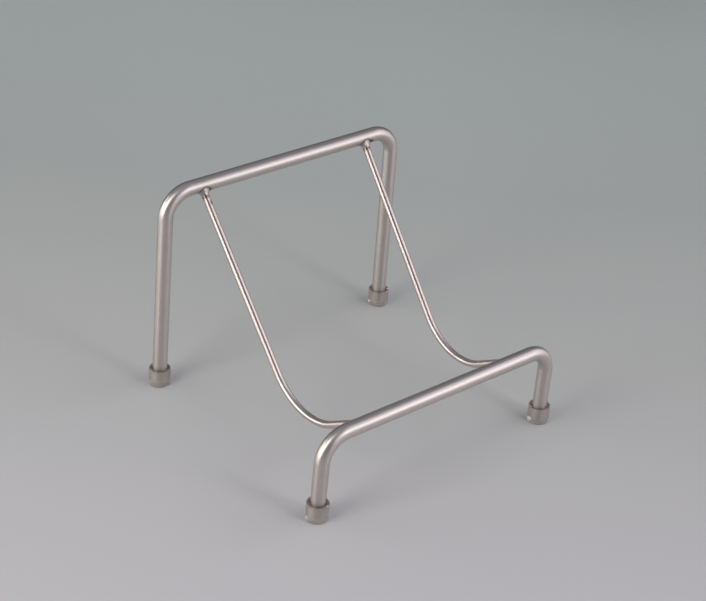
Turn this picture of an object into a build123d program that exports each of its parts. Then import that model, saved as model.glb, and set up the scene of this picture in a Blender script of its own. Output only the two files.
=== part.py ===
from build123d import *
import os
from math import cos, radians, sin, tan

# Welded display stand for a photo album, in millimetres. Two upside-down U frames of round rod stand one
# behind the other. Two thinner J wires run from the rear bar down and forward, then up to the front bar,
# and cradle the album. Clear caps are pushed onto the rod ends. +Z is up, the front is at -Y, the left is
# at -X, and the origin lies on the floor in the middle of the four feet.

# Stock
rod_diameter = 8.0
wire_diameter = 4.0

# Frames, measured at the rod's axis
frame_width = 150.0  # from leg to leg, where the legs run into the bar
frame_spacing = 138.5  # from the front bar back to the rear bar
rear_bar_height = 115.0
front_bar_height = 47.0
bend_radius = 14.2
leg_splay = 1.0  # degrees that each leg leans outwards towards its foot
rod_end_chamfer = 0.4

# Cradle wires, measured at the wire's axis
wire_inset_rear = 21.3  # from the leg's axis in to the wire, along the rear bar
wire_inset_front = 25.7  # the same along the front bar
corner_setback = 48.4  # from the front bar back to where the wire's two straight runs would cross
corner_height = 15.4  # of that crossing above the floor
wire_bend_radius = 34.0

# Welds
root_gap = 0.2  # from the wire's end to the bar, filled with weld metal
weld_rise = 2.2  # along the wire, from the top of the bar's curve
weld_wrap = 2.0  # down the bar's side, from the top of its curve
weld_toe = 1.4  # out from the wire's surface, at the foot of the bead
weld_hollow = 0.2  # depth of the bead's hollow face

# Foot caps
cap_wall = 1.9
cap_floor = 2.4
cap_height = 9.4
cap_clearance = 0.02  # between the stretched cap and the rod
cap_edge_radius = 0.5

# Sizes that follow from those above
rod_radius = rod_diameter / 2
wire_radius = wire_diameter / 2
bore_radius = rod_radius + cap_clearance
cap_radius = bore_radius + cap_wall
splay = radians(leg_splay)
rear_y = frame_spacing / 2
front_y = -frame_spacing / 2
sides = {"left": -1, "right": 1}
frames = {"rear": (rear_bar_height, rear_y), "front": (front_bar_height, front_y)}


def foot_x(bar_height):
    """Half the distance between a frame's leg axes at the floor."""
    return frame_width / 2 + bar_height * tan(splay)


def bent_frame(bar_height, y):
    """A U of rod whose ends stand on the floors of its foot caps."""
    end_x = foot_x(bar_height) - cap_floor * sin(splay)
    end_z = cap_floor * cos(splay)
    corner_x = frame_width / 2
    with BuildPart() as frame:
        with BuildLine(Plane.XZ.offset(-y)):
            axis = FilletPolyline(
                (-end_x, end_z),
                (-corner_x, bar_height),
                (corner_x, bar_height),
                (end_x, end_z),
                radius=bend_radius,
            )
        with BuildSketch(Plane(axis @ 0, z_dir=axis % 0)):
            Circle(rod_radius)
        sweep(path=axis)
        rod_ends = frame.faces().filter_by(GeomType.PLANE)
        chamfer(rod_ends.edges(), rod_end_chamfer)
    return frame.part


def wire_corners(side):
    """The ends of a J wire's axis on the two bars' axes, and the crossing of its two straight runs."""
    rear_end = Vector(side * (frame_width / 2 - wire_inset_rear), rear_y, rear_bar_height)
    front_end = Vector(side * (frame_width / 2 - wire_inset_front), front_y, front_bar_height)
    below = front_end + (rear_end - front_end) * (corner_setback / frame_spacing)
    return {"rear": rear_end, "crossing": Vector(below.X, below.Y, corner_height), "front": front_end}


def wire_direction(side, bar):
    """The way that a J wire leaves a bar."""
    corners = wire_corners(side)
    return (corners["crossing"] - corners[bar]).normalized()


def cradle_wire(side):
    """A J of wire in one upright plane, cut square at both ends, a root gap away from the bars."""
    corners = wire_corners(side)
    standoff = rod_radius + root_gap
    with BuildPart() as wire:
        with BuildLine():
            axis = FilletPolyline(
                corners["rear"] + wire_direction(side, "rear") * standoff,
                corners["crossing"],
                corners["front"] + wire_direction(side, "front") * standoff,
                radius=wire_bend_radius,
            )
        with BuildSketch(Plane(axis @ 0, z_dir=axis % 0)):
            Circle(wire_radius)
        sweep(path=axis)
    return wire.part


def weld_bead(side, bar, frame):
    """The weld metal round a wire's end: it fills the root gap and flares onto the bar."""
    start = wire_corners(side)[bar]
    along = wire_direction(side, bar)
    across = along.cross(Vector(0, 0, 1))
    wire_end = rod_radius + root_gap
    crest = (wire_radius, rod_radius + weld_rise)
    toe = (wire_radius + weld_toe, rod_radius - weld_wrap)
    with BuildPart() as bead:
        with BuildSketch(Plane(start, x_dir=across, z_dir=across.cross(along))):
            with BuildLine():
                SagittaArc(toe, crest, weld_hollow)
                Polyline(crest, (wire_radius, wire_end), (0, wire_end), (0, toe[1]), toe)
            make_face()
        revolve(axis=Axis(start, along))
        add(frame, mode=Mode.SUBTRACT)
    return bead.part


def foot_cap(side, bar_height, y):
    """A cup on a rod's end, in line with the leg and flat on the floor."""
    leg = Plane(
        origin=(side * foot_x(bar_height), y),
        x_dir=(cos(splay), 0, side * sin(splay)),
        z_dir=(-side * sin(splay), 0, cos(splay)),
    )
    with BuildPart() as cap:
        with BuildSketch(leg.offset(-cap_floor)):
            Circle(cap_radius)
        extrude(amount=cap_floor + cap_height)
        with BuildSketch(leg.offset(cap_floor)):
            Circle(bore_radius)
        extrude(amount=cap_height - cap_floor, mode=Mode.SUBTRACT)
        split(bisect_by=Plane.XY, keep=Keep.TOP)
        flat_faces = cap.faces().filter_by(GeomType.PLANE).sort_by(Axis.Z)
        fillet(flat_faces[0].edges() + flat_faces[-1].edges(), cap_edge_radius)
    return cap.part


pieces = {}
for bar, (bar_height, y) in frames.items():
    pieces[f"{bar}_frame"] = bent_frame(bar_height, y)
for hand, side in sides.items():
    pieces[f"{hand}_cradle_wire"] = cradle_wire(side)
    for bar, (bar_height, y) in frames.items():
        pieces[f"{bar}_{hand}_weld"] = weld_bead(side, bar, pieces[f"{bar}_frame"])
        pieces[f"{bar}_{hand}_foot_cap"] = foot_cap(side, bar_height, y)

os.makedirs("parts", exist_ok=True)
for name, piece in pieces.items():
    piece.label = name
    export_step(piece, f"parts/{name}.step")
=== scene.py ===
from math import cos, pi, radians, sin, sqrt, tan

import bpy
from mathutils import Matrix, Vector


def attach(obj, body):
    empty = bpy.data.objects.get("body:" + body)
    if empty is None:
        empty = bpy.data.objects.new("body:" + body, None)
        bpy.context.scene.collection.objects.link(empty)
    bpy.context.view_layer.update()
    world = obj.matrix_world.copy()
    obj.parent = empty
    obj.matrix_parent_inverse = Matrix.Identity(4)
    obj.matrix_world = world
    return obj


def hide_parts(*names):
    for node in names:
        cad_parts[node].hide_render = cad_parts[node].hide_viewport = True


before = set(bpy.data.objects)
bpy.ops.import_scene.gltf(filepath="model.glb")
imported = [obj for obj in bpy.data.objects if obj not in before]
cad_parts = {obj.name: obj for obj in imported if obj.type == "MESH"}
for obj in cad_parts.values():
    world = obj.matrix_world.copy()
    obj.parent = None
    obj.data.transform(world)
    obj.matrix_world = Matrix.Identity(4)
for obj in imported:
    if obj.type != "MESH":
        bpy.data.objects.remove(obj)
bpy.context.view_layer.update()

# Sizes of the stand in metres, the same as those of its solids
MM = 0.001
ROD_RADIUS = 4.0 * MM
WIRE_RADIUS = 2.0 * MM
FRAME_WIDTH = 150.0 * MM
FRAME_SPACING = 138.5 * MM
BAR_HEIGHT = {"rear": 115.0 * MM, "front": 47.0 * MM}
BAR_Y = {"rear": FRAME_SPACING / 2, "front": -FRAME_SPACING / 2}
BEND_RADIUS = 14.2 * MM
LEG_SPLAY = radians(1.0)
ROD_END_CHAMFER = 0.4 * MM
WIRE_INSET = {"rear": 21.3 * MM, "front": 25.7 * MM}
CORNER_SETBACK = 48.4 * MM
CORNER_HEIGHT = 15.4 * MM
WIRE_BEND_RADIUS = 34.0 * MM
ROOT_GAP = 0.2 * MM
CAP_RADIUS = 5.92 * MM
CAP_FLOOR = 2.4 * MM
CAP_HEIGHT = 9.4 * MM
CAP_EDGE = 0.5 * MM
SIDES = {"left": -1, "right": 1}

# How finely the rods and wires are divided
ROD_STEPS = {"Bend steps": 32, "Rim steps": 96}
WIRE_STEPS = {"Bend steps": 64, "Rim steps": 64}
STOCK_SHARP_ANGLE = radians(30)

# Weld beads: how far they reach along the wire and out onto the bar, how far their edges sink into the
# steel, and the power that makes their face hollow
WELD_RISE = 2.2 * MM
WELD_TOE = 1.05 * MM
WELD_SUNK = 0.4 * MM
WELD_FLARE = 1.6
# Ripples round a bead: their number, their height, and the angle by which they lag from the toe to the wire
RIPPLE_COUNT = 17
RIPPLE_HEIGHT = 0.05 * MM
RIPPLE_LAG = 2.2
# Slow waves that make a bead's toe and crest uneven: number round the bead, share of the size, and phase
TOE_WAVES = ((2, 0.10, 0.6), (5, 0.06, 0.0))
CREST_WAVES = ((3, 0.08, 0.0),)
BEAD_STEPS = 96
BEAD_ROWS = 9

# Foot caps: the bore lies a little inside the rod's surface, so that no gap shows. The skin starts from a
# small ring in the middle of the underside and ends in another on the bore's floor
CAP_GRIP = 0.05 * MM
CAP_CENTRE = 0.5 * MM
CAP_STEPS = 96
CAP_EDGE_STEPS = 6
# How much painted shade the bore's floor has, against the full painted shade at the rod's entry
BORE_ENTRY_SHADE = 0.3
SKIN_SHARP_ANGLE = radians(50)

# Steel
ROD_TONE = (0.664, 0.61, 0.576)
WIRE_TONE = (0.698, 0.615, 0.575)
ROD_ROUGHNESS = 0.315
WIRE_ROUGHNESS = 0.18
# How far the leaning ridges tilt the surface along the stock
ROD_SPREAD = 0.34
WIRE_SPREAD = 0.41
# Leans of the polishing ridges and their shares. The upright one is last, because an export keeps that one
RIDGE_LEANS = {-1.0: 1, -0.5: 2, 0.5: 2, 1.0: 1, 0.0: 3}
# Bands across the stock and patches of duller polish, by scale and detail, and what they do to the finish
BAND_STRETCH = (40, 40, 2500)
BAND_GRAIN = (1.0, 1.0)
PATCH_GRAIN = (160.0, 2.0)
STEEL_SHADES = {0.25: 0.93, 0.75: 1.0}
STEEL_ROUGHNESS_SWING = 0.06
# Heat tint and a dark ring round each weld, the ring partly oxidised steel and partly painted shade: the
# distances from a weld's middle at which their fading begins and ends, their colours and their strengths
STRAW_FADE = (4.0 * MM, 9.0 * MM)
STRAW_CAST = (0.92, 0.85, 0.76)
STRAW_STRENGTH = 0.35
OXIDE_AND_SHADE_FADE = (3.3 * MM, 5.0 * MM)
OXIDE_AND_SHADE_CAST = (0.20, 0.17, 0.16)
OXIDE_AND_SHADE_STRENGTH = 0.75
# Painted shade beside the rear welds, as a place from the weld's middle and a strength on each side
PAINTED_WELD_SHADE_FADE = (0.9 * MM, 2.3 * MM)
BAR_PAINTED_SHADE_OFFSET = Vector((3.5, -0.8, 1.0)) * MM
BAR_PAINTED_SHADE = {"left": 0.3, "right": 1.0}
WIRE_PAINTED_SHADE_OFFSET = Vector((1.5, -4.9, -4.1)) * MM
WIRE_PAINTED_SHADE = {"left": 1.0, "right": 0.0}

# Weld metal
WELD_TONE = (0.55, 0.48, 0.48)
MOTTLE_GRAIN = (900.0, 3.0)
BLUSH_GRAIN = (350.0, 1.0)
WELD_SHADES = {0.3: 0.62, 0.55: 1.0, 0.75: 0.85}
WELD_ROUGHNESS = 0.36
WELD_ROUGHNESS_SWING = 0.3
WELD_BUMP = {"Strength": 0.4, "Distance": 0.05 * MM}

# Clear plastic
CAP_TONE = (0.755, 0.71, 0.655)
WAVE_GRAIN = (260.0, 1.0)
MARK_GRAIN = (900.0, 2.0)
CAP_SHADES = {0.3: 0.9, 0.7: 1.0}
CAP_ROUGHNESS = 0.08
CAP_ROUGHNESS_SWING = 0.08
CAP_IOR = 1.47
CAP_TRANSMISSION = 0.72
CAP_BUMP = {"Strength": 0.3, "Distance": 0.2 * MM}
# Painted shade where the rod enters the cap: its colour and its strength
ENTRY_SHADE_CAST = (0.40, 0.34, 0.29)
ENTRY_SHADE_STRENGTH = 0.8

# The floor lies a little under the caps, and its reach is from the middle to each edge. Its colours are
# painted light and shade: they go by the distance away from the camera, and painted shades darken them by
# the distance along a line turned from the X axis
FLOOR_DROP = 0.02 * MM
FLOOR_REACH = 6.0
FLOOR_ROUGHNESS = 0.5
FLOOR_PAINTED_TONES = {
    -0.15: (0.662, 0.657, 0.662),
    0.07: (0.610, 0.627, 0.597),
    0.25: (0.588, 0.627, 0.592),
    0.52: (0.669, 0.744, 0.699),
}
FLOOR_PAINTED_SHADE_TURN = radians(-33.4)
FLOOR_PAINTED_SHADES = {-0.1: 1.0, 0.1: 0.943, 0.3: 0.82}

# Lamps as seen from the stand: azimuth and elevation in degrees, distance, width and height in metres,
# radiance and colour
LAMPS = {
    "left_lamp": (-87, 30, 0.9, 0.36, 0.52, 3.8, (1.0, 0.97, 0.93)),
    "left_reflector": (-117, 11.2, 1.8, 2.2, 0.87, 2.75, (1.0, 0.96, 0.92)),
    "right_lamp": (16, 30, 0.9, 0.2, 0.45, 3.3, (0.99, 0.955, 1.0)),
    "right_reflector": (49, 26, 0.9, 1.35, 1.0, 1.12, (0.99, 0.955, 1.0)),
}
ROOM_HORIZON = (0.044, 0.044, 0.044)
ROOM_ZENITH = (0.348, 0.348, 0.392)

# Where the photograph was taken from, and with which lens on a sensor of this width, both in millimetres
VIEW_AZIMUTH = radians(-41.42)
VIEW_ELEVATION = radians(32.02)
VIEW_ROLL = radians(5.13)
VIEW_DISTANCE = 0.90885
VIEW_AIM = Vector((0.00204, 0.00634, 0.05977))
FOCAL_LENGTH = 87.81
SENSOR_WIDTH = 36.0


class Socket:
    """An output of a node. Arithmetic on it adds Math nodes to the same tree."""

    def __init__(self, nodes, output):
        self.nodes = nodes
        self.output = output

    def maths(self, operation, *terms):
        inputs = dict(enumerate(terms))
        return self.nodes.add("ShaderNodeMath", {"operation": operation}, inputs)

    def __add__(self, other):
        return self.maths("ADD", self, other)

    def __sub__(self, other):
        return self.maths("SUBTRACT", self, other)

    def __rsub__(self, other):
        return self.maths("SUBTRACT", other, self)

    def __mul__(self, other):
        return self.maths("MULTIPLY", self, other)

    __radd__ = __add__
    __rmul__ = __mul__


class Nodes:
    """A node tree that is being built. Sockets go by name, or by number where a node repeats a name."""

    def __init__(self, tree):
        self.tree = tree

    def add(self, kind, settings=None, inputs=None, output=0):
        """Adds a node: its settings come first, then the values or links of its sockets."""
        node = self.tree.nodes.new(kind)
        for name, value in (settings or {}).items():
            if name == "stops":
                self.set_stops(node.color_ramp, value)
            else:
                setattr(node, name, value)
        for name, value in (inputs or {}).items():
            if isinstance(value, Socket):
                self.tree.links.new(value.output, node.inputs[name])
            else:
                node.inputs[name].default_value = value
        return Socket(self, node.outputs[output]) if node.outputs else node

    @staticmethod
    def set_stops(ramp, stops):
        while len(ramp.elements) < len(stops):
            ramp.elements.new(1.0)
        for element, (position, colour) in zip(ramp.elements, stops):
            element.position = position
            element.color = colour

    def place(self):
        """The point that is shaded, in metres."""
        return self.add("ShaderNodeTexCoord", output="Object")

    def noise(self, place, scale, detail):
        return self.add("ShaderNodeTexNoise", {}, {"Vector": place, "Scale": scale, "Detail": detail})

    def distance(self, place, point):
        return self.measure("DISTANCE", place, point)

    def dot(self, place, way):
        return self.measure("DOT_PRODUCT", place, way)

    def measure(self, operation, first, second):
        """A number that follows from two vectors."""
        return self.add(
            "ShaderNodeVectorMath", {"operation": operation}, {0: first, 1: second}, output="Value"
        )

    def split(self, vector):
        """The X, Y and Z of a vector."""
        first = self.add("ShaderNodeSeparateXYZ", {}, {"Vector": vector})
        return [Socket(self, output) for output in first.output.node.outputs]

    def mix(self, share, first, second, way="MIX"):
        """Mixes two colours."""
        settings = {"data_type": "RGBA", "blend_type": way}
        return self.add("ShaderNodeMix", settings, {0: share, 6: first, 7: second}, output=2)

    def ramp(self, value, stops):
        return self.add("ShaderNodeValToRGB", {"stops": stops}, {"Fac": value})


# Where the wires meet the bars


def wire_corners(side):
    """The ends of a J wire's axis on the bars' axes, and the crossing of its two straight runs."""
    ends = {
        bar: Vector((side * (FRAME_WIDTH / 2 - WIRE_INSET[bar]), BAR_Y[bar], BAR_HEIGHT[bar]))
        for bar in BAR_Y
    }
    below = ends["front"].lerp(ends["rear"], CORNER_SETBACK / FRAME_SPACING)
    return ends["rear"], Vector((below.x, below.y, CORNER_HEIGHT)), ends["front"]


def wire_start(side, bar):
    """The point on the bar's axis that a wire aims at, and the way that the wire leaves it."""
    rear, crossing, front = wire_corners(side)
    start = {"rear": rear, "front": front}[bar]
    return start, (crossing - start).normalized()


def on_wire(side, bar, distance):
    """The point on a wire's axis that lies this far from the bar's axis."""
    start, along = wire_start(side, bar)
    return start + along * distance


def weld_middle(side, bar):
    """The middle of a weld, where the wire's axis meets the bar's surface."""
    return on_wire(side, bar, ROD_RADIUS)


# Making the finishes


def new_finish(name):
    """An empty material and its tree."""
    material = bpy.data.materials.new(name)
    material.use_nodes = True
    material.node_tree.nodes.clear()
    return material, Nodes(material.node_tree)


def close_finish(n, surface):
    """Leads a shader to the material's output."""
    n.add("ShaderNodeOutputMaterial", {}, {"Surface": surface})


def opaque(tone, share=1.0):
    """A colour with its alpha, darkened to a share."""
    return tuple(share * c for c in tone) + (1,)


def shaded(n, value, tone, shades):
    """A tone that is darkened to shares of itself by a value."""
    return n.ramp(value, [(at, opaque(tone, share)) for at, share in shades.items()])


def tinted(n, colour, tone, cast, share):
    """Mixes a colour towards the clean tone times a cast."""
    return n.mix(share, colour, opaque([c * k for c, k in zip(tone, cast)]))


def swing(noise, width):
    """A noise, which varies round a half, as a change to either side of 0."""
    return (noise - 0.5) * width


def fade(n, reach, full, none):
    """A mask that is 1 up to one distance and falls smoothly to 0 at another."""
    return n.add(
        "ShaderNodeMapRange",
        {"interpolation_type": "SMOOTHSTEP"},
        {"Value": reach, "From Min": full, "From Max": none, "To Min": 1.0, "To Max": 0.0},
    )


def satin_steel(name, tone, roughness, spread, welds, painted_weld_shades):
    """Polished stainless steel. Polishing round the stock leaves ridges too fine to see, which spread the
    light along it, so the finish is a mix of layers that lean along the stock by even steps. It has soft
    bands of duller polish, a heat tint at each weld, a dark ring round each weld's toe that is partly
    oxidised steel and partly painted shade, and dark spots of painted shade beside some welds."""
    material, n = new_finish(name)
    stock = n.add("ShaderNodeAttribute", {"attribute_name": "stock"}, output="Vector")
    along = n.split(stock)[2]
    stretched = n.add("ShaderNodeMapping", {}, {"Vector": stock, "Scale": BAND_STRETCH})
    bands = n.noise(stretched, *BAND_GRAIN)
    patches = n.noise(stock, *PATCH_GRAIN)
    place = n.place()
    oxide_and_shade = straw = 0.0
    # Heat tint, and a dark ring round each weld's toe that is partly oxidised steel and partly painted
    # shade
    for point in welds:
        reach = n.distance(place, point)
        straw = straw + fade(n, reach, *STRAW_FADE)
        oxide_and_shade = oxide_and_shade + fade(n, reach, *OXIDE_AND_SHADE_FADE) * OXIDE_AND_SHADE_STRENGTH
    # Painted shade beside the welds
    for point, strength in painted_weld_shades:
        oxide_and_shade = oxide_and_shade + fade(n, n.distance(place, point), *PAINTED_WELD_SHADE_FADE) * strength
    colour = shaded(n, (bands + patches) * 0.5, tone, STEEL_SHADES)
    colour = tinted(n, colour, tone, STRAW_CAST, straw * STRAW_STRENGTH)
    colour = tinted(n, colour, tone, OXIDE_AND_SHADE_CAST, oxide_and_shade)
    dull = roughness + swing(bands, STEEL_ROUGHNESS_SWING) + swing(patches, STEEL_ROUGHNESS_SWING)
    surface = None
    weight = 0
    for lean, share in RIDGE_LEANS.items():
        sockets = {"Base Color": colour, "Metallic": 1.0, "Roughness": dull}
        if lean:
            slope = {"Height": along, "Distance": abs(lean) * spread}
            sockets["Normal"] = n.add("ShaderNodeBump", {"invert": lean < 0}, slope)
        layer = n.add("ShaderNodeBsdfPrincipled", {}, sockets)
        weight += share
        if surface:
            surface = n.add("ShaderNodeMixShader", {}, {0: share / weight, 1: surface, 2: layer})
        else:
            surface = layer
    close_finish(n, surface)
    return material


def weld_metal(name, tone):
    """Brushed weld: rougher than the rod and mottled."""
    material, n = new_finish(name)
    place = n.place()
    mottle = n.noise(place, *MOTTLE_GRAIN)
    blush = n.noise(place, *BLUSH_GRAIN)
    sockets = {
        "Base Color": shaded(n, (mottle + blush) * 0.5, tone, WELD_SHADES),
        "Metallic": 1.0,
        "Roughness": WELD_ROUGHNESS + swing(mottle, WELD_ROUGHNESS_SWING),
        "Normal": n.add("ShaderNodeBump", {}, {"Height": mottle, **WELD_BUMP}),
    }
    close_finish(n, n.add("ShaderNodeBsdfPrincipled", {}, sockets))
    return material


def clear_plastic(name, tone):
    """Hazy soft plastic, a little wavy from its mould, duller where it has been handled, and darkened with
    painted shade where the rod enters."""
    material, n = new_finish(name)
    place = n.place()
    wave = n.noise(place, *WAVE_GRAIN)
    marks = n.noise(place, *MARK_GRAIN)
    # Painted shade round the rod's entry
    grime = n.add("ShaderNodeAttribute", {"attribute_name": "grime"}, output="Fac")
    colour = shaded(n, wave, tone, CAP_SHADES)
    sockets = {
        "Base Color": tinted(n, colour, tone, ENTRY_SHADE_CAST, grime * ENTRY_SHADE_STRENGTH),
        "Roughness": CAP_ROUGHNESS + marks * CAP_ROUGHNESS_SWING,
        "IOR": CAP_IOR,
        "Transmission Weight": CAP_TRANSMISSION,
        "Normal": n.add("ShaderNodeBump", {}, {"Height": wave, **CAP_BUMP}),
    }
    close_finish(n, n.add("ShaderNodeBsdfPrincipled", {}, sockets))
    return material


def floor_sheet(name, tones, shades):
    """Smooth grey sheet with painted light and shade: its tone changes from the front to the back and
    darkens from left to right.
    """
    material, n = new_finish(name)
    place = n.place()
    # Painted light and shade by the place on the floor
    depth = n.dot(place, (-sin(VIEW_AZIMUTH), cos(VIEW_AZIMUTH), 0.0))
    side = n.dot(place, (cos(FLOOR_PAINTED_SHADE_TURN), sin(FLOOR_PAINTED_SHADE_TURN), 0.0))
    greys = {at: (level,) * 3 for at, level in shades.items()}
    colour = n.mix(1.0, length_ramp(n, depth, tones), length_ramp(n, side, greys), way="MULTIPLY")
    sockets = {"Base Color": colour, "Roughness": FLOOR_ROUGHNESS}
    close_finish(n, n.add("ShaderNodeBsdfPrincipled", {}, sockets))
    return material


def length_ramp(n, length, tones):
    """A ramp of colours over a length in metres."""
    low, high = min(tones), max(tones)
    share = n.add("ShaderNodeMapRange", {}, {"Value": length, "From Min": low, "From Max": high})
    return n.ramp(share, [((at - low) / (high - low), opaque(tone)) for at, tone in tones.items()])


# Bent stock


def stock_tree():
    """Geometry nodes that fillet a path and sweep round stock along it. The attribute stock gives each
    point's place on the straight length before it was bent."""
    tree = bpy.data.node_groups.new("bent_stock", "GeometryNodeTree")
    sockets = {}
    for name, kind in (
        ("Path", "NodeSocketGeometry"),
        ("Stock radius", "NodeSocketFloat"),
        ("Bend radius", "NodeSocketFloat"),
        ("Bend steps", "NodeSocketInt"),
        ("Rim steps", "NodeSocketInt"),
        ("Finish", "NodeSocketMaterial"),
    ):
        sockets[name] = tree.interface.new_socket(name, in_out="INPUT", socket_type=kind).identifier
    tree.interface.new_socket("Stock", in_out="OUTPUT", socket_type="NodeSocketGeometry")
    n = Nodes(tree)
    source = tree.nodes.new("NodeGroupInput")
    given = {socket.name: Socket(n, socket) for socket in source.outputs if socket.name}
    path = n.add("GeometryNodeMeshToCurve", {}, {"Mesh": given["Path"]})
    path = n.add("GeometryNodeSetCurveRadius", {}, {"Curve": path, "Radius": recall(n, "taper", "FLOAT")})
    path = n.add(
        "GeometryNodeFilletCurve",
        {"mode": "POLY"},
        {"Curve": path, "Radius": given["Bend radius"], "Count": given["Bend steps"]},
    )
    path = keep(n, path, "along", "FLOAT", n.add("GeometryNodeSplineParameter", output="Length"))
    rim = n.add(
        "GeometryNodeCurvePrimitiveCircle",
        {},
        {"Resolution": given["Rim steps"], "Radius": given["Stock radius"]},
    )
    rim = keep(n, rim, "rim", "FLOAT_VECTOR", n.add("GeometryNodeInputPosition"))
    swept = n.add(
        "GeometryNodeCurveToMesh",
        {},
        {"Curve": path, "Profile Curve": rim, "Fill Caps": True},
    )
    across, depth, _ = n.split(recall(n, "rim", "FLOAT_VECTOR"))
    length = recall(n, "along", "FLOAT")
    straight = n.add("ShaderNodeCombineXYZ", {}, {"X": across, "Y": depth, "Z": length})
    swept = keep(n, swept, "stock", "FLOAT_VECTOR", straight)
    swept = n.add("GeometryNodeRealizeInstances", {}, {"Geometry": swept})
    swept = n.add("GeometryNodeSetMaterial", {}, {"Geometry": swept, "Material": given["Finish"]})
    n.add("NodeGroupOutput", {}, {"Stock": swept})
    return tree, sockets


def keep(n, geometry, name, kind, value):
    """Stores a named attribute."""
    return n.add(
        "GeometryNodeStoreNamedAttribute",
        {"data_type": kind},
        {"Geometry": geometry, "Name": name, "Value": value},
    )


def recall(n, name, kind):
    """Reads a named attribute."""
    return n.add("GeometryNodeInputNamedAttribute", {"data_type": kind}, {"Name": name})


def bend_stock(name, corners, tapers, sizes, tree, sockets):
    """Runs the tree on a path and returns the bent stock as a plain mesh object."""
    line = bpy.data.meshes.new(name + "_path")
    line.from_pydata(corners, [(i, i + 1) for i in range(len(corners) - 1)], [])
    line.attributes.new("taper", "FLOAT", "POINT").data.foreach_set("value", tapers)
    path = bpy.data.objects.new(name + "_path", line)
    bpy.context.scene.collection.objects.link(path)
    modifier = path.modifiers.new("bent stock", "NODES")
    modifier.node_group = tree
    for label, value in sizes.items():
        modifier[sockets[label]] = value
    graph = bpy.context.evaluated_depsgraph_get()
    mesh = bpy.data.meshes.new_from_object(path.evaluated_get(graph))
    path.modifiers.remove(modifier)
    bpy.data.objects.remove(path)
    mesh.name = name
    return smooth_piece(name, mesh, STOCK_SHARP_ANGLE)


def smooth_piece(name, mesh, sharp_angle):
    """An object of a mesh that is shaded smooth between its sharp edges."""
    mesh.shade_smooth()
    mesh.set_sharp_from_angle(angle=sharp_angle)
    piece = bpy.data.objects.new(name, mesh)
    bpy.context.scene.collection.objects.link(piece)
    return piece


def foot_x(bar):
    """Half the distance between a frame's leg axes at the floor."""
    return FRAME_WIDTH / 2 + BAR_HEIGHT[bar] * tan(LEG_SPLAY)


def leg_axis(side):
    """The way up a leg."""
    return Vector((-side * sin(LEG_SPLAY), 0, cos(LEG_SPLAY)))


def leg_foot(side, bar):
    """The point where a leg's axis meets the floor."""
    return Vector((side * foot_x(bar), BAR_Y[bar], 0))


def frame_path(bar):
    """Corners of a U frame's axis, with a tapered step at each end for the rod's chamfer."""
    ends = {}
    for side in SIDES.values():
        lifts = (CAP_FLOOR, CAP_FLOOR + ROD_END_CHAMFER)
        ends[side] = [leg_foot(side, bar) + leg_axis(side) * lift for lift in lifts]
    top = [Vector((side * FRAME_WIDTH / 2, BAR_Y[bar], BAR_HEIGHT[bar])) for side in SIDES.values()]
    corners = ends[-1] + top + ends[1][::-1]
    end_scale = 1 - ROD_END_CHAMFER / ROD_RADIUS
    return corners, [end_scale, 1, 1, 1, 1, end_scale]


def wire_path(side):
    """Corners of a J wire's axis, square cut a root gap away from each bar."""
    standoff = ROD_RADIUS + ROOT_GAP
    crossing = wire_corners(side)[1]
    return [on_wire(side, "rear", standoff), crossing, on_wire(side, "front", standoff)], [1, 1, 1]


# Welds and caps


def ring_mesh(name, rings, finish, grime=None):
    """A closed skin over rings of points: neighbours are joined, the first and last ring are capped. An
    attribute holds how much painted shade each ring has, where that is given."""
    count = len(rings[0])
    points = [p for ring in rings for p in ring]
    faces = [tuple(range(count))[::-1]]
    for k in range(len(rings) - 1):
        for i in range(count):
            j = (i + 1) % count
            faces.append((k * count + i, k * count + j, (k + 1) * count + j, (k + 1) * count + i))
    faces.append(tuple(range((len(rings) - 1) * count, len(rings) * count)))
    mesh = bpy.data.meshes.new(name)
    mesh.from_pydata(points, [], faces)
    # Painted shade, where it is given
    if grime:
        levels = [level for level in grime for _ in range(count)]
        mesh.attributes.new("grime", "FLOAT", "POINT").data.foreach_set("value", levels)
    mesh.validate()
    mesh.materials.append(finish)
    return smooth_piece(name, mesh, SKIN_SHARP_ANGLE)


def bar_surface(across, along, radius):
    """How far along a wire's axis the bar's surface lies, at a radius to one side of that axis."""
    side = Vector((0, across.y, across.z)) * radius
    lead = Vector((0, along.y, along.z))
    a, b, c = lead.dot(lead), lead.dot(side), side.dot(side) - ROD_RADIUS**2
    return (-b + sqrt(b * b - a * c)) / a


def uneven(size, waves, angle):
    """A size that varies a little round a bead."""
    return size * (1 + sum(share * sin(count * angle + phase) for count, share, phase in waves))


def weld_bead(name, side, bar, finish):
    """A rippled fillet of weld metal round a wire's end, from its toe on the bar up to the wire."""
    start, along = wire_start(side, bar)
    u = (Vector((1, 0, 0)) - along * along.x).normalized()
    v = along.cross(u)
    rings = [[] for _ in range(BEAD_ROWS + 2)]
    for i in range(BEAD_STEPS):
        angle = 2 * pi * i / BEAD_STEPS
        across = u * cos(angle) + v * sin(angle)
        width = uneven(WELD_TOE, TOE_WAVES, angle)
        toe = WIRE_RADIUS + width
        low = bar_surface(across, along, toe)
        high = ROD_RADIUS + uneven(WELD_RISE, CREST_WAVES, angle)
        rings[0].append(start + across * (toe - WELD_SUNK) + along * (low - WELD_SUNK))
        for k in range(BEAD_ROWS):
            t = k / (BEAD_ROWS - 1)
            ripple = RIPPLE_HEIGHT * sin(RIPPLE_COUNT * angle + RIPPLE_LAG * t) * sin(pi * t)
            radius = WIRE_RADIUS + width * (1 - t) ** WELD_FLARE + ripple
            rings[k + 1].append(start + across * radius + along * (low + (high - low) * t))
        rings[-1].append(start + across * (WIRE_RADIUS - WELD_SUNK) + along * high)
    return ring_mesh(name, rings, finish)


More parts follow.
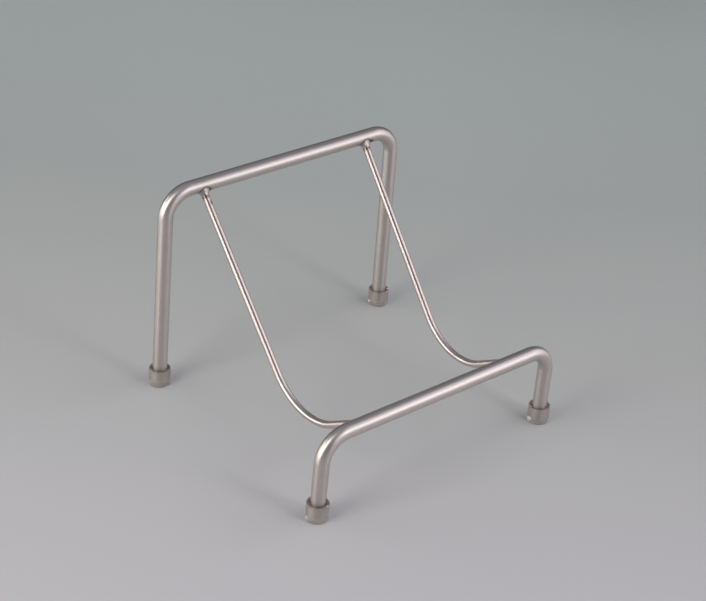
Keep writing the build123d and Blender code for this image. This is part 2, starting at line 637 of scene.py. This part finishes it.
def cap_outline():
    """The cap's section as radius, height and painted shade, from the middle of its underside round to its
    bore. Shade is painted where the rod enters."""
    turns = [pi / 2 * k / CAP_EDGE_STEPS for k in range(CAP_EDGE_STEPS + 1)]
    rim, top = CAP_RADIUS - CAP_EDGE, CAP_HEIGHT - CAP_EDGE
    bore, seat = ROD_RADIUS - CAP_GRIP, CAP_FLOOR + CAP_GRIP
    lip = ROD_RADIUS + CAP_EDGE
    outline = [(CAP_CENTRE, 0, 0)]
    outline += [(rim + CAP_EDGE * sin(turn), CAP_EDGE * (1 - cos(turn)), 0) for turn in turns]
    outline += [(rim + CAP_EDGE * cos(turn), top + CAP_EDGE * sin(turn), 0) for turn in turns]
    outline += [(lip - CAP_EDGE * sin(turn), top + CAP_EDGE * cos(turn), 1) for turn in turns[:-1]]
    return outline + [(bore, top, 1), (bore, seat, BORE_ENTRY_SHADE), (CAP_CENTRE, seat, 0)]


def foot_cap(name, side, bar, finish):
    """A clear cup on a rod's end, in line with the leg and flat on the floor."""
    floor = leg_foot(side, bar)
    up = leg_axis(side)
    u = Vector((cos(LEG_SPLAY), 0, side * sin(LEG_SPLAY)))
    v = up.cross(u)
    rings = []
    for radius, height, _ in cap_outline():
        ring = []
        for i in range(CAP_STEPS):
            angle = 2 * pi * i / CAP_STEPS
            point = floor + (u * cos(angle) + v * sin(angle)) * radius
            lift = height - point.z / up.z * (1 - height / CAP_HEIGHT)
            ring.append(point + up * lift)
        rings.append(ring)
    # With painted shade where the rod enters
    return ring_mesh(name, rings, finish, [grime for _, _, grime in cap_outline()])


# Studio


def sheet_floor(finish):
    """A wide flat floor under the stand."""
    mesh = bpy.data.meshes.new("floor")
    corners = ((-1, -1), (1, -1), (1, 1), (-1, 1))
    points = [(x * FLOOR_REACH, y * FLOOR_REACH, -FLOOR_DROP) for x, y in corners]
    mesh.from_pydata(points, [], [(0, 1, 2, 3)])
    mesh.materials.append(finish)
    floor = bpy.data.objects.new("floor", mesh)
    bpy.context.scene.collection.objects.link(floor)


def direction(azimuth, elevation):
    """Unit vector to a place seen from the stand: azimuth 0 is the front, positive to the right."""
    return Vector((sin(azimuth) * cos(elevation), -cos(azimuth) * cos(elevation), sin(elevation)))


def soft_box(name, azimuth, elevation, distance, width, height, radiance, tone):
    """A flat lamp that faces the stand."""
    lamp = bpy.data.lights.new(name, "AREA")
    lamp.shape = "RECTANGLE"
    lamp.size = width
    lamp.size_y = height
    lamp.energy = radiance * pi * width * height
    lamp.color = tone
    holder = bpy.data.objects.new(name, lamp)
    toward = direction(radians(azimuth), radians(elevation))
    turn = toward.to_track_quat("Z", "Y").to_matrix().to_4x4()
    holder.matrix_world = Matrix.Translation(toward * distance) @ turn
    bpy.context.scene.collection.objects.link(holder)


def studio_world(horizon, zenith):
    """A dim room, paler overhead."""
    world = bpy.data.worlds.new("studio")
    world.use_nodes = True
    world.node_tree.nodes.clear()
    n = Nodes(world.node_tree)
    height = n.dot(n.add("ShaderNodeTexCoord", output="Generated"), (0, 0, 1))
    light = n.add("ShaderNodeBackground", {}, {"Color": n.mix(height, opaque(horizon), opaque(zenith))})
    n.add("ShaderNodeOutputWorld", {}, {"Surface": light})
    bpy.context.scene.world = world


def photo_camera():
    """A camera at the photograph's place, turned a little about its own axis."""
    back = direction(VIEW_AZIMUTH, VIEW_ELEVATION)
    level = Vector((cos(VIEW_AZIMUTH), sin(VIEW_AZIMUTH), 0))
    upright = back.cross(level)
    right = level * cos(VIEW_ROLL) + upright * sin(VIEW_ROLL)
    up = upright * cos(VIEW_ROLL) - level * sin(VIEW_ROLL)
    lens = bpy.data.cameras.new("photo_camera")
    lens.sensor_fit = "HORIZONTAL"
    lens.sensor_width = SENSOR_WIDTH
    lens.lens = FOCAL_LENGTH
    camera = bpy.data.objects.new("photo_camera", lens)
    turn = Matrix((right, up, back)).transposed().to_4x4()
    camera.matrix_world = Matrix.Translation(VIEW_AIM + back * VIEW_DISTANCE) @ turn
    bpy.context.scene.collection.objects.link(camera)
    bpy.context.scene.camera = camera


def hand_over(piece, node):
    """Puts a piece in place of a CAD node, on the stand's one body."""
    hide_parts(node)
    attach(piece, "root")


weld_finish = weld_metal("weld_metal", WELD_TONE)
cap_finish = clear_plastic("clear_plastic", CAP_TONE)
tree, sockets = stock_tree()

for bar in BAR_Y:
    welds = {hand: weld_middle(side, bar) for hand, side in SIDES.items()}
    # Painted shade beside the rear welds
    painted_weld_shades = []
    if bar == "rear":
        painted_weld_shades = [(welds[hand] + BAR_PAINTED_SHADE_OFFSET, BAR_PAINTED_SHADE[hand]) for hand in SIDES]
    finish = satin_steel(
        bar + "_rod_steel", ROD_TONE, ROD_ROUGHNESS, ROD_SPREAD, welds.values(), painted_weld_shades
    )
    sizes = {"Stock radius": ROD_RADIUS, "Bend radius": BEND_RADIUS, "Finish": finish, **ROD_STEPS}
    piece = bend_stock(bar + "_rod", *frame_path(bar), sizes, tree, sockets)
    hand_over(piece, bar + "_frame")

for hand, side in SIDES.items():
    welds = {bar: weld_middle(side, bar) for bar in BAR_Y}
    # Painted shade on the wire below its rear weld
    painted_weld_shades = [(welds["rear"] + WIRE_PAINTED_SHADE_OFFSET, WIRE_PAINTED_SHADE[hand])]
    finish = satin_steel(
        hand + "_wire_steel", WIRE_TONE, WIRE_ROUGHNESS, WIRE_SPREAD, welds.values(), painted_weld_shades
    )
    sizes = {"Stock radius": WIRE_RADIUS, "Bend radius": WIRE_BEND_RADIUS, "Finish": finish, **WIRE_STEPS}
    piece = bend_stock(hand + "_wire", *wire_path(side), sizes, tree, sockets)
    hand_over(piece, hand + "_cradle_wire")
    for bar in BAR_Y:
        place = f"{bar}_{hand}"
        hand_over(weld_bead(place + "_bead", side, bar, weld_finish), place + "_weld")
        hand_over(foot_cap(place + "_cap", side, bar, cap_finish), place + "_foot_cap")

sheet_floor(floor_sheet("floor_sheet", FLOOR_PAINTED_TONES, FLOOR_PAINTED_SHADES))
studio_world(ROOM_HORIZON, ROOM_ZENITH)
for name, lamp in LAMPS.items():
    soft_box(name, *lamp)
photo_camera()
bpy.context.scene.view_settings.view_transform = "Standard"
